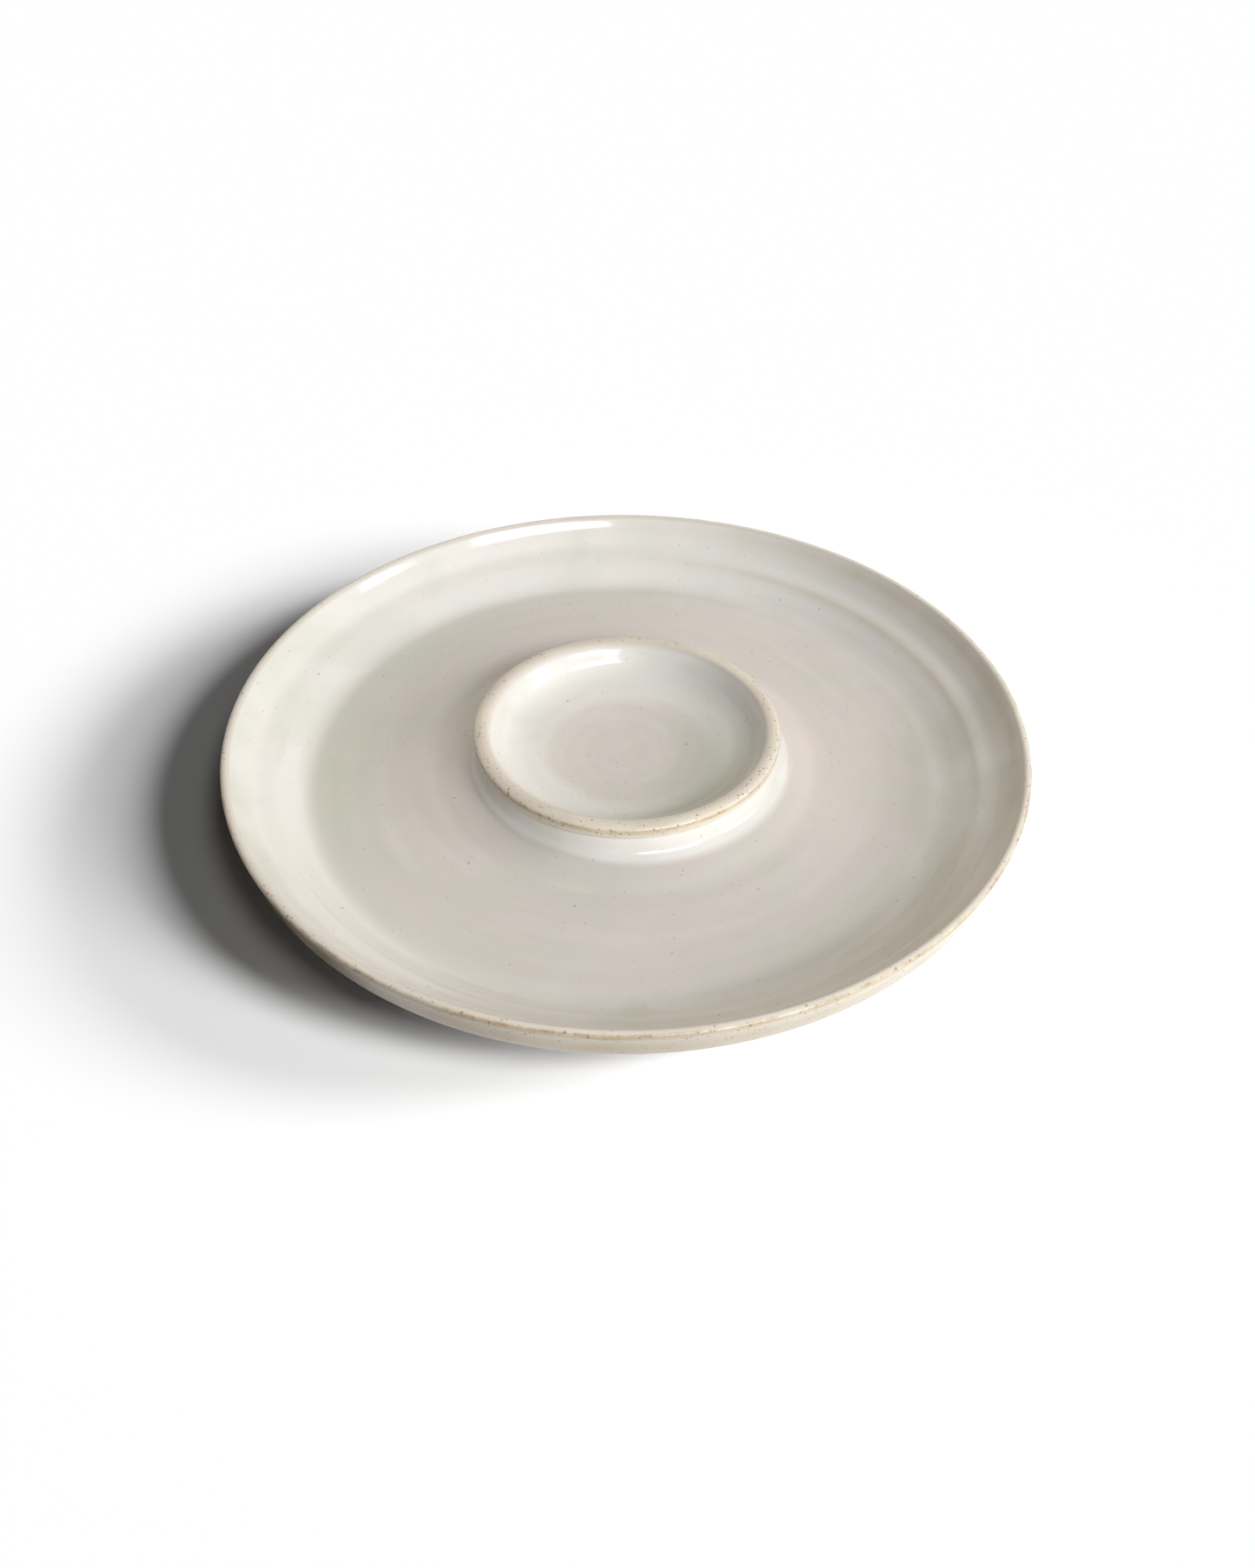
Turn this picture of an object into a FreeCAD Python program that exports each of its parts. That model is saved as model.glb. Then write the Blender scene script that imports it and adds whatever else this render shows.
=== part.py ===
"""Chip and dip server: a wheel-thrown stoneware platter with a dip bowl joined to its floor.

Every piece is round, so each one is a flat section in the XZ plane turned about Z.
The origin is on the axis, at the level of the surface that the foot stands on.  Millimetres.
"""
import FreeCAD, Part
import math
import os

Vector = FreeCAD.Vector
AXIS_POINT = Vector(0, 0, 0)
AXIS = Vector(0, 0, 1)

# ---------------------------------------------------------------- driving dimensions, millimetres
GLAZE = 0.6                  # fired thickness of every glaze coat

# platter
RIM_RADIUS = 152.4           # a 12 inch platter, to the edge of the rim
WELL_DEPTH = 22.0            # chip well's floor, below the edge of the rim
FLOOR_THICKNESS = 7.0        # floor of the chip well, both glazes included
RIM_WIDTH = 3.2              # rolled rim, across its top
RIM_CROWN = 0.9              # rise of the rolled rim above its edge
WALL_STEP_INSET = 16.6       # soft step that the thrower's finger left in the wall, in from the edge
WALL_STEP_HEIGHT = 8.8       # and up from the floor
WALL_STEP_TREAD = 5.8        # width of the gentler slope above the step
WALL_STEP_RISE = 2.8         # rise of that slope
WALL_SHOULDER_INSET = 5.8    # where the wall steepens again under the rim, in from the edge
WALL_SHOULDER_HEIGHT = 17.9  # and up from the floor
WALL_FOOT_INSET = 27.4       # where the wall starts to rise from the floor, in from the edge
OUTER_BAND_HEIGHT = 11.8     # upright band outside, from the edge of the rim down to its corner
OUTER_BAND_TAPER = 2.5       # how far the band leans in over that height
UNDERSIDE_INSET = 25.5       # where the sloping underside turns level, in from the edge

# foot
FOOT_RADIUS = 110.0          # outside of the foot ring
FOOT_WIDTH = 8.0
FOOT_HEIGHT = 6.0            # underside above the table
FOOT_ROUND = 1.3             # both edges of the standing face

# dip bowl
BOWL_RADIUS = 59.4           # to the edge of the bowl's lip
BOWL_HEIGHT = 15.9           # edge of the lip above the chip well's floor
BOWL_LIP_WIDTH = 6.2         # rolled lip, across its top
BOWL_LIP_CROWN = 1.3         # rise of the rolled lip above its edge
BOWL_BAND_HEIGHT = 3.8       # plain band outside, under the edge of the lip
BOWL_WAIST_DEPTH = 2.0       # how far the waist is cut in under the band
BOWL_WAIST_DROP = 1.0        # height of that undercut
BOWL_FLOOR_THICKNESS = 2.6   # floor of the bowl above the chip well's floor
BOWL_DISH_RADIUS = 20.0      # where the bowl's floor starts to rise
BOWL_TURN_INSET = 16.7       # where it turns up, in from the edge of the lip
BOWL_TURN_RISE = 3.0         # and up from the middle of the bowl's floor
BOWL_KNEE_INSET = 11.2       # where its wall steepens, in from the edge of the lip
BOWL_KNEE_RISE = 5.8         # and up from the middle of the bowl's floor
BOWL_SHOULDER_INSET = 7.3    # where its wall leans back under the lip, in from the edge of the lip
BOWL_SHOULDER_DROP = 1.2     # and below that edge
BOWL_BASE_RADIUS = 47.0      # base that the bowl was thrown on

# collar of clay that was thrown on round the bowl's base
COLLAR_EDGE_RADIUS = 63.4    # soft edge round the collar
COLLAR_EDGE_HEIGHT = 2.4     # and above the chip well's floor
COLLAR_FOOT_RADIUS = 75.0    # where the collar runs out on the floor
COLLAR_COVE_RUN = 2.1        # width of the steep part under the waist
COLLAR_COVE_DROP = 5.2       # height of that part

# rounding
EDGE_ROUND = 1.3             # every rolled rim and every small outside edge
LIP_ANGLES = (180, 135, 90, 50, 22)     # where a rolled lip's corners lie round its ellipse, degrees
CORNER_ROUND = 4.0           # corner under the outer band
COVE_ROUND = 4.0             # hollow of the collar
STEP_ROUND = 3.0             # soft step in the wall and soft edge of the collar
TREAD_ROUND = 10.0           # hollow above the soft step
SHOULDER_ROUND = 20.0        # where the wall steepens again
FLOOR_ROUND = 14.0           # where a floor turns up into a wall
DISH_ROUND = 120.0           # where the bowl's floor starts to rise
BOWL_ROUND = 22.0            # where it turns up and the bowl's wall steepens
UNDERSIDE_ROUND = 16.0       # where the underside turns level
LONGEST_ROUND = 0.45         # share of a straight run that one rounding may use

# ---------------------------------------------------------------- levels that follow from them
UNDERSIDE = FOOT_HEIGHT
FLOOR = UNDERSIDE + FLOOR_THICKNESS
RIM = FLOOR + WELL_DEPTH
BOWL_EDGE = FLOOR + BOWL_HEIGHT
BOWL_FLOOR = FLOOR + BOWL_FLOOR_THICKNESS
CLAY_FLOOR = FLOOR - GLAZE
CLAY_UNDERSIDE = UNDERSIDE + GLAZE


# ---------------------------------------------------------------- sections: (radius, height, rounding)
def rolled_lip(edge_radius, edge_height, width, crown):
    """Corners of a rolled lip: half an ellipse, from the wall inside it over the crown to its edge."""
    middle = edge_radius - width / 2
    corners = [(middle + width / 2 * math.cos(math.radians(angle)),
                edge_height + crown * math.sin(math.radians(angle)), EDGE_ROUND)
               for angle in LIP_ANGLES]
    return corners + [(edge_radius, edge_height, 0)]


def bowl_inside():
    """Glazed surface from the middle of the bowl to the edge of its lip."""
    return ([(0, BOWL_FLOOR, 0), (BOWL_DISH_RADIUS, BOWL_FLOOR, DISH_ROUND),
             (BOWL_RADIUS - BOWL_TURN_INSET, BOWL_FLOOR + BOWL_TURN_RISE, BOWL_ROUND),
             (BOWL_RADIUS - BOWL_KNEE_INSET, BOWL_FLOOR + BOWL_KNEE_RISE, BOWL_ROUND),
             (BOWL_RADIUS - BOWL_SHOULDER_INSET, BOWL_EDGE - BOWL_SHOULDER_DROP, BOWL_ROUND)]
            + rolled_lip(BOWL_RADIUS, BOWL_EDGE, BOWL_LIP_WIDTH, BOWL_LIP_CROWN))


def bowl_band():
    """Glazed surface of the band under the lip, down to the sharp crease at the waist."""
    bottom = BOWL_EDGE - BOWL_BAND_HEIGHT
    return [(BOWL_RADIUS, bottom, EDGE_ROUND),
            (BOWL_RADIUS - BOWL_WAIST_DEPTH, bottom - BOWL_WAIST_DROP, 0)]


def collar_flare():
    """Glazed surface of the collar, from under the waist to the chip well's floor."""
    waist_radius, waist_height, _ = bowl_band()[-1]
    return [(waist_radius + COLLAR_COVE_RUN, waist_height - COLLAR_COVE_DROP, COVE_ROUND),
            (COLLAR_EDGE_RADIUS, FLOOR + COLLAR_EDGE_HEIGHT, STEP_ROUND),
            (COLLAR_FOOT_RADIUS, FLOOR, 0)]


def chip_well():
    """Glazed surface from the floor of the chip well up its wall to the edge of the rim."""
    step_radius = RIM_RADIUS - WALL_STEP_INSET
    step_height = FLOOR + WALL_STEP_HEIGHT
    return ([(RIM_RADIUS - WALL_FOOT_INSET, FLOOR, FLOOR_ROUND),
             (step_radius, step_height, STEP_ROUND),
             (step_radius + WALL_STEP_TREAD, step_height + WALL_STEP_RISE, TREAD_ROUND),
             (RIM_RADIUS - WALL_SHOULDER_INSET, FLOOR + WALL_SHOULDER_HEIGHT, SHOULDER_ROUND)]
            + rolled_lip(RIM_RADIUS, RIM, RIM_WIDTH, RIM_CROWN))


def outside():
    """Glazed surface from the edge of the rim down and under to the foot ring."""
    return [(RIM_RADIUS - OUTER_BAND_TAPER, RIM - OUTER_BAND_HEIGHT, CORNER_ROUND),
            (RIM_RADIUS - UNDERSIDE_INSET, UNDERSIDE, UNDERSIDE_ROUND),
            (FOOT_RADIUS, UNDERSIDE, 0)]


# ---------------------------------------------------------------- flat geometry
def unit(start, end):
    """Direction from one corner to the next."""
    run, rise = end[0] - start[0], end[1] - start[1]
    length = math.hypot(run, rise)
    return run / length, rise / length


def sink(corners, depth):
    """The same corners, sunk by depth to the right of the way they run, roundings to match."""
    ways = [unit(a, b) for a, b in zip(corners, corners[1:])]
    sunk = []
    for number, (radius, height, rounding) in enumerate(corners):
        before = ways[max(number - 1, 0)]
        after = ways[min(number, len(ways) - 1)]
        turn = before[0] * after[1] - before[1] * after[0]
        share = depth / (1 + before[0] * after[0] + before[1] * after[1])
        right = (share * (before[1] + after[1]), -share * (before[0] + after[0]))
        if rounding:
            rounding += math.copysign(depth, turn)
        sunk.append((radius + right[0], height + right[1], rounding))
    return sunk


def point(corner):
    return Vector(corner[0], 0, corner[1])


def rounded_edges(corners):
    """Lines through the corners, with an arc at each corner that has a rounding."""
    edges = []
    last = point(corners[0])
    for before, corner, after in zip(corners, corners[1:], corners[2:]):
        if corner[2] <= 0:
            edges.append(Part.LineSegment(last, point(corner)).toShape())
            last = point(corner)
            continue
        here = point(corner)
        back = (point(before) - here).normalize()
        ahead = (point(after) - here).normalize()
        half = back.getAngle(ahead) / 2
        reach = LONGEST_ROUND * min((point(before) - here).Length, (point(after) - here).Length)
        radius = min(corner[2], reach * math.tan(half))
        start = here + back * (radius / math.tan(half))
        end = here + ahead * (radius / math.tan(half))
        middle = here + (back + ahead).normalize() * (radius / math.sin(half) - radius)
        edges.append(Part.LineSegment(last, start).toShape())
        edges.append(Part.Arc(start, middle, end).toShape())
        last = end
    edges.append(Part.LineSegment(last, point(corners[-1])).toShape())
    return edges


def turned(section):
    """Solid turned from the closed section that the corners go round."""
    edges = rounded_edges(section)
    edges.append(Part.LineSegment(point(section[-1]), point(section[0])).toShape())
    solid = Part.Face(Part.Wire(edges)).revolve(AXIS_POINT, AXIS, 360)
    if solid.Volume < 0:
        solid.reverse()
    return solid


# ---------------------------------------------------------------- the glazed surface and the clay under it
def runs_between_breaks(corners):
    """The whole run of corners, cut where one piece of clay or one coat meets the next."""
    counts = [len(run()) for run in (bowl_inside, bowl_band, collar_flare, chip_well, outside)]
    ends = [sum(counts[:number + 1]) for number in range(len(counts))]
    starts = [0] + [end - 1 for end in ends[:-1]]
    return [corners[start:end] for start, end in zip(starts, ends)]


SURFACE = bowl_inside() + bowl_band() + collar_flare() + chip_well() + outside()
GLAZED = runs_between_breaks(SURFACE)
CLAY = runs_between_breaks(sink(SURFACE, GLAZE))
BOWL_INSIDE, BOWL_BAND, COLLAR_FLARE, CHIP_WELL, OUTSIDE = range(5)


def joined(runs, first, last):
    """Corners of the runs from first to last, each shared corner once."""
    corners = list(runs[first])
    for number in range(first + 1, last + 1):
        corners += runs[number][1:]
    return corners


def coat(first, last):
    """Glaze coat over the runs from first to last."""
    return turned(joined(GLAZED, first, last) + joined(CLAY, first, last)[::-1])


# ---------------------------------------------------------------- clay pieces
def platter_body():
    """Floor, wall and rim, thrown as one disc and turned to shape underneath."""
    return turned(joined(CLAY, CHIP_WELL, OUTSIDE) + [(0, CLAY_UNDERSIDE, 0), (0, CLAY_FLOOR, 0)])


def foot_ring():
    """Ring of bare clay that the platter stands on."""
    inner = FOOT_RADIUS - FOOT_WIDTH
    return turned([(FOOT_RADIUS, CLAY_UNDERSIDE, 0), (FOOT_RADIUS, 0, FOOT_ROUND),
                   (inner, 0, FOOT_ROUND), (inner, CLAY_UNDERSIDE, 0)])


def dip_bowl():
    """Shallow bowl with its own floor, thrown apart and set on the platter with slip."""
    return turned(joined(CLAY, BOWL_INSIDE, BOWL_BAND)
                  + [(BOWL_BASE_RADIUS, CLAY_FLOOR, 0), (0, CLAY_FLOOR, 0)])


def joining_collar():
    """Coil of soft clay thrown down round the bowl's base, which locks the bowl to the floor."""
    return turned(CLAY[COLLAR_FLARE] + [(BOWL_BASE_RADIUS, CLAY_FLOOR, 0)])


# ---------------------------------------------------------------- glaze coats, parted where the glaze breaks
def bowl_glaze():
    """Coat in the bowl, up over its lip to the edge."""
    return coat(BOWL_INSIDE, BOWL_INSIDE)


def chip_well_glaze():
    """Coat from the edge of the bowl's lip over the collar and floor to the edge of the rim."""
    return coat(BOWL_BAND, CHIP_WELL)


def outside_glaze():
    """Coat from the edge of the rim down the outside and under to the foot ring."""
    return coat(OUTSIDE, OUTSIDE)


def foot_recess_glaze():
    """Coat on the underside within the foot ring."""
    inner = FOOT_RADIUS - FOOT_WIDTH
    return turned([(0, UNDERSIDE, 0), (inner, UNDERSIDE, 0),
                   (inner, CLAY_UNDERSIDE, 0), (0, CLAY_UNDERSIDE, 0)])


PIECES = (platter_body, foot_ring, dip_bowl, joining_collar,
          bowl_glaze, chip_well_glaze, outside_glaze, foot_recess_glaze)

os.makedirs("parts", exist_ok=True)
for piece in PIECES:
    solid = piece()
    solid.exportStep("parts/" + piece.__name__ + ".step")
    print(piece.__name__, solid.ShapeType, solid.isValid(), round(solid.Volume / 1000, 2), "cm3")
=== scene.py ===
"""Chip and dip server in cream-glazed buff stoneware: how it looks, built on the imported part's frame.

The whole glazed surface is one hand-thrown sheet: a profile that runs from the middle of the dip bowl, over its
lip, across the chip well and round the rim to the foot, turned about Z.  Every piece is cut from that sheet, or
from the same sheet sunk by the thickness of the glaze, so the clay and the coats of glaze fit one another.
"""
import math

import bpy
import numpy as np
from bpy.props import FloatProperty, FloatVectorProperty, PointerProperty
from mathutils import Matrix, Vector


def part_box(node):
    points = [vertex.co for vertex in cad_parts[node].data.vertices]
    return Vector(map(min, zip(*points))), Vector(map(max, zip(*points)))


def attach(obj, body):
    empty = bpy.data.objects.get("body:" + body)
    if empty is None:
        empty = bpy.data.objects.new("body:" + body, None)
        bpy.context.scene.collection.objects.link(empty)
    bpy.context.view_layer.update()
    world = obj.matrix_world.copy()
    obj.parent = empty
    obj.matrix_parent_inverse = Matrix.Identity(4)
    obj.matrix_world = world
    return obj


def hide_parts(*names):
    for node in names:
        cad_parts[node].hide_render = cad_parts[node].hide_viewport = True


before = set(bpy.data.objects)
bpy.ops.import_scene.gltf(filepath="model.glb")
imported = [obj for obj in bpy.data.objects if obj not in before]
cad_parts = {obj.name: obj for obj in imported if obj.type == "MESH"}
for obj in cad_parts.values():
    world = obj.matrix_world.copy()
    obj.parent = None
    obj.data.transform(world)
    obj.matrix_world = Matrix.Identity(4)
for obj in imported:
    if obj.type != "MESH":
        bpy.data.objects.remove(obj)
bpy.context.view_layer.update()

bl_info = {
    "name": "Chip and dip server",
    "version": (1, 0, 0),
    "blender": (4, 5, 0),
    "location": "View3D > Sidebar > Server",
    "description": "Builds a wheel-thrown chip and dip server in glazed stoneware on its CAD frame",
    "category": "Add Mesh",
}

MM = 0.001
DECIMETRE = 0.1
BODY = "root"


# ---------------------------------------------------------------- settings
def length(name, description, metres):
    """A length that the user can change, in metres."""
    return FloatProperty(name=name, description=description, default=metres, precision=5,
                         subtype="DISTANCE", unit="LENGTH")


def number(name, description, default):
    """A plain number that the user can change."""
    return FloatProperty(name=name, description=description, default=default, precision=4)


def angle(name, description, degrees):
    """An angle that the user can change."""
    return FloatProperty(name=name, description=description, default=math.radians(degrees),
                         subtype="ANGLE", unit="ROTATION")


def linear(code):
    """Linear red, green, blue and full alpha of an sRGB colour such as #D8CFC4."""
    parts = [int(code[start:start + 2], 16) / 255 for start in (1, 3, 5)]
    return [part / 12.92 if part <= 0.04045 else ((part + 0.055) / 1.055) ** 2.4 for part in parts] + [1.0]


def colour(name, description, code):
    """A colour that the user can change, from its sRGB hex value."""
    return FloatVectorProperty(name=name, description=description, default=linear(code), size=4,
                               subtype="COLOR", min=0, max=1)


def low(node):
    """Lowest corner of a node of the CAD part."""
    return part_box(node)[0]


def high(node):
    """Highest corner of a node of the CAD part."""
    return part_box(node)[1]


GLAZE = high("foot_recess_glaze").z - low("foot_recess_glaze").z     # thickness of a coat


class ServerShape(bpy.types.PropertyGroup):
    """Sizes of the thrown shape.  Those that the CAD part fixes come from the boxes of its nodes."""
    glaze: length("Glaze", "Thickness of every coat of glaze", GLAZE)
    rim_radius: length("Rim radius", "To the edge of the rolled rim", high("outside_glaze").x)
    rim_edge: length("Rim edge", "Height of the rim's edge", high("outside_glaze").z)
    rim_top: length("Rim top", "Height of the rim's crown", high("chip_well_glaze").z)
    rim_width: length("Rim width", "Across the top of the rolled rim", 3.2 * MM)
    floor: length("Floor", "Height of the chip well's floor", low("chip_well_glaze").z + GLAZE)
    wall_foot: length("Wall foot", "Where the wall starts to rise, in from the rim's edge", 27.4 * MM)
    wall_step: length("Wall step", "Soft step in the wall, in from the rim's edge", 16.6 * MM)
    wall_step_rise: length("Step height", "Soft step above the floor", 8.8 * MM)
    tread_width: length("Tread width", "Gentler slope above the soft step", 5.8 * MM)
    tread_rise: length("Tread rise", "Rise of that slope", 2.8 * MM)
    shoulder: length("Wall shoulder", "Where the wall steepens under the rim, in from its edge", 5.8 * MM)
    shoulder_rise: length("Shoulder height", "Wall shoulder above the floor", 17.9 * MM)
    band_height: length("Outer band", "Height of the upright band outside, under the rim", 11.8 * MM)
    band_taper: length("Band taper", "How far the band leans in over its height", 2.5 * MM)
    underside: length("Underside", "Height of the glazed underside", low("outside_glaze").z)
    underside_inset: length("Underside inset", "Where the underside turns level, in from the rim", 25.5 * MM)
    foot_radius: length("Foot radius", "Outside of the foot ring", high("foot_ring").x)
    foot_inner: length("Foot inside", "Inside of the foot ring", high("foot_recess_glaze").x)
    foot_round: length("Foot rounding", "Both edges of the standing face", 1.3 * MM)
    bowl_radius: length("Bowl radius", "To the edge of the bowl's lip", high("bowl_glaze").x)
    bowl_top: length("Bowl top", "Height of the lip's crown", high("bowl_glaze").z)
    bowl_crown: length("Lip crown", "Rise of the lip above its edge", 1.3 * MM)
    bowl_lip_width: length("Lip width", "Across the top of the bowl's lip", 6.2 * MM)
    bowl_floor: length("Bowl floor", "Height of the bowl's floor", low("bowl_glaze").z + GLAZE)
    bowl_dish: length("Bowl dish", "Radius where the bowl's floor starts to rise", 20.0 * MM)
    bowl_turn: length("Bowl turn", "Where the bowl's floor turns up, in from its edge", 16.7 * MM)
    bowl_turn_rise: length("Turn height", "That turn above the middle of the bowl's floor", 3.0 * MM)
    bowl_knee: length("Bowl knee", "Where its wall steepens, in from its edge", 11.2 * MM)
    bowl_knee_rise: length("Knee height", "Knee above the bowl's floor", 5.8 * MM)
    bowl_shoulder: length("Bowl shoulder", "Where its wall leans back under the lip, in from its edge", 7.3 * MM)
    bowl_shoulder_drop: length("Shoulder drop", "Bowl shoulder below the edge of the lip", 1.2 * MM)
    bowl_base: length("Bowl base", "Radius of the base that the bowl was thrown on", 47.0 * MM)
    lip_band: length("Lip band", "Plain band under the edge of the bowl's lip", 3.8 * MM)
    waist_depth: length("Waist depth", "How far the waist is cut in under the band", 2.0 * MM)
    waist_drop: length("Waist drop", "Height of that undercut", 1.0 * MM)
    cove_run: length("Cove run", "Width of the steep part under the waist", 2.1 * MM)
    cove_drop: length("Cove drop", "Height of that part", 5.2 * MM)
    collar_edge: length("Collar edge", "Radius of the collar's soft edge", 63.4 * MM)
    collar_rise: length("Collar height", "Soft edge above the floor", 2.4 * MM)
    collar_foot: length("Collar foot", "Where the collar runs out on the floor", high("joining_collar").x)


class ThrowersHand(bpy.types.PropertyGroup):
    """How far the hand-thrown shape strays from the turned one."""
    two_lobes: length("Oval", "How far the rim is oval", 0.50 * MM)
    two_lobes_at: angle("Oval direction", "Where the rim is widest", 45)
    three_lobes: length("Three lobes", "How far the rim is three-cornered", 0.43 * MM)
    three_lobes_at: angle("Three lobes direction", "Where the rim is widest", 25)
    warp: length("Warp", "How far the rim dips and rises round its edge", 0.25 * MM)
    warp_at: angle("Warp direction", "Where the rim is highest", 100)
    ring_height: length("Ring height", "Height of the throwing rings on the platter", 0.05 * MM)
    ring_spacing: length("Ring spacing", "Spacing of the throwing rings on the platter", 11.0 * MM)
    bowl_ring_height: length("Bowl ring height", "Height of the throwing rings in the bowl", 0.045 * MM)
    bowl_ring_spacing: length("Bowl ring spacing", "Spacing of the rings in the bowl", 7.5 * MM)
    ring_tone: number("Ring tone", "How much thinner the glaze lies on each throwing ring", 0.02)
    collar_shift: length("Collar shift", "How far the collar's soft edge lies off centre", 1.3 * MM)
    collar_shift_at: angle("Collar shift direction", "The side that it is shifted to", 0)
    whorl: length("Whorl", "Depth of the whorl in the middle of the bowl", 0.25 * MM)
    whorl_radius: length("Whorl radius", "Size of that whorl", 6.0 * MM)


class GlazeFinish(bpy.types.PropertyGroup):
    """Colours and gloss of the fired glaze and clay."""
    thin: colour("Thin glaze", "Over lips and edges, where the clay warms it", "#E0DACB")
    even: colour("Even glaze", "On the flat floors", "#CDC7C0")
    deep: colour("Deep glaze", "In the hollows, where it lies thicker and whiter", "#DCDAD4")
    # also the colour of the painted shade on the flat near the wall and in the bowl
    pooled_and_shaded: colour("Pooled glaze", "Where it gathers deepest and goes grey-green", "#C3C5B7")
    broken: colour("Broken glaze", "Dark tan line where it breaks at an edge", "#8E7047")
    # also the colour of the painted shade on the band outside and on the wall
    stained_and_shaded: colour("Stained glaze", "Tan wash under that line", "#B19B72")
    iron: colour("Iron specks", "Specks of iron from the clay", "#5E4A38")
    blush: colour("Blush", "Rosy clouds in the even glaze", "#D2C8C1")
    clay: colour("Stoneware", "Bare buff clay", "#C8AE8E")
    gloss: number("Glaze roughness", "Roughness of the glossy glaze", 0.11)
    dull: number("Line roughness", "Roughness of the glaze where it breaks", 0.42)
    dry: number("Clay roughness", "Roughness of the bare clay", 0.85)


class Studio(bpy.types.PropertyGroup):
    """The plain studio: floor, lamps and camera."""
    camera_distance: length("Camera distance", "From the camera to what it looks at", 490.5 * MM)
    camera_elevation: angle("Camera elevation", "Above the table", 41.76)
    camera_roll: angle("Camera roll", "Turned anticlockwise", 0.7055)
    camera_lens: number("Lens", "Focal length, millimetres", 27.907)
    ambient: number("Ambient", "Strength of the dim light from all round", 0.01)
    windows: number("Windows", "Strength of the windows", 1.0)
    room: number("Room", "Strength of the light that the room throws back", 1.0)
    table_light: number("Table light", "Light that only the table gets, watts per square metre", 3.5)


# ---------------------------------------------------------------- the profile
TURNS = 320                  # grid columns round the axis
TURN = np.arange(TURNS) / TURNS * 2 * math.pi    # the direction of each
FINE_STEP = 0.1 * MM         # spacing at which the profile is worked out
ROW_STEP = 0.75 * MM         # spacing of grid rows where the profile is straight
BEND_ROWS = 0.9 * MM         # extra rows where it bends: this over the bend's radius
INNER_STEP = 4               # the hidden side of a coat keeps every fourth row
SOFTENING = 0.45 * MM        # how far fired glaze softens every corner
SHORTEST_LEG = 0.45          # share of a straight run that one rounding may use
ARC_POINTS = 13              # points of one rounding
MOST_EXTRA = 5               # most extra rows for each row of a straight run
LIP_ANGLES = (180, 135, 90, 50, 22)     # corners of a rolled lip, degrees round its ellipse

# Roundings of the profile's corners.
EDGE_ROUND = 1.3 * MM        # the rolled rim and lip, and the foot of the lip's band
CORNER_ROUND = 4.0 * MM      # the foot of the band outside
COVE_ROUND = 4.0 * MM        # the hollow of the collar
STEP_ROUND = 3.0 * MM        # the collar's soft edge and the step in the wall
TREAD_ROUND = 10.0 * MM      # the top of the gentler slope over that step
SHOULDER_ROUND = 20.0 * MM   # the shoulder of the wall
FLOOR_ROUND = 14.0 * MM      # both ends of the chip well's floor
BOWL_ROUND = 22.0 * MM       # the wall of the bowl
DISH_ROUND = 120.0 * MM      # the edge of the bowl's floor
UNDERSIDE_ROUND = 16.0 * MM  # where the underside turns level


def rolled_lip(edge_radius, edge_height, width, crown):
    """Corners of half an ellipse, from the wall inside the lip over its crown to its outer edge."""
    round_it = [math.radians(degrees) for degrees in LIP_ANGLES]
    return ([(edge_radius - width / 2 + width / 2 * math.cos(a), edge_height + crown * math.sin(a), EDGE_ROUND)
             for a in round_it] + [(edge_radius, edge_height, 0)])


def corners_of(shape):
    """Corners (radius, height, rounding) of the glazed surface from the middle of the bowl to the foot, and the
    places (radius, height) where one piece ends and the next begins."""
    bowl_edge = shape.bowl_top - shape.bowl_crown
    waist = (shape.bowl_radius - shape.waist_depth, bowl_edge - shape.lip_band - shape.waist_drop)
    step = (shape.rim_radius - shape.wall_step, shape.floor + shape.wall_step_rise)
    corners = [
        (0, shape.bowl_floor, 0),
        (shape.bowl_dish, shape.bowl_floor, DISH_ROUND),
        (shape.bowl_radius - shape.bowl_turn, shape.bowl_floor + shape.bowl_turn_rise, BOWL_ROUND),
        (shape.bowl_radius - shape.bowl_knee, shape.bowl_floor + shape.bowl_knee_rise, BOWL_ROUND),
        (shape.bowl_radius - shape.bowl_shoulder, bowl_edge - shape.bowl_shoulder_drop, BOWL_ROUND),
        *rolled_lip(shape.bowl_radius, bowl_edge, shape.bowl_lip_width, shape.bowl_crown),
        (shape.bowl_radius, bowl_edge - shape.lip_band, EDGE_ROUND),
        (*waist, 0),
        (waist[0] + shape.cove_run, waist[1] - shape.cove_drop, COVE_ROUND),
        (shape.collar_edge, shape.floor + shape.collar_rise, STEP_ROUND),
        (shape.collar_foot, shape.floor, FLOOR_ROUND),
        (shape.rim_radius - shape.wall_foot, shape.floor, FLOOR_ROUND),
        (*step, STEP_ROUND),
        (step[0] + shape.tread_width, step[1] + shape.tread_rise, TREAD_ROUND),
        (shape.rim_radius - shape.shoulder, shape.floor + shape.shoulder_rise, SHOULDER_ROUND),
        *rolled_lip(shape.rim_radius, shape.rim_edge, shape.rim_width, shape.rim_top - shape.rim_edge),
        (shape.rim_radius - shape.band_taper, shape.rim_edge - shape.band_height, CORNER_ROUND),
        (shape.rim_radius - shape.underside_inset, shape.underside, UNDERSIDE_ROUND),
        (shape.foot_radius, shape.underside, 0),
    ]
    partings = {"lip": (shape.bowl_radius, bowl_edge), "waist": waist,
                "collar": (shape.collar_foot, shape.floor), "rim": (shape.rim_radius, shape.rim_edge),
                "foot": (shape.foot_radius, shape.underside)}
    return corners, partings


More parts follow.
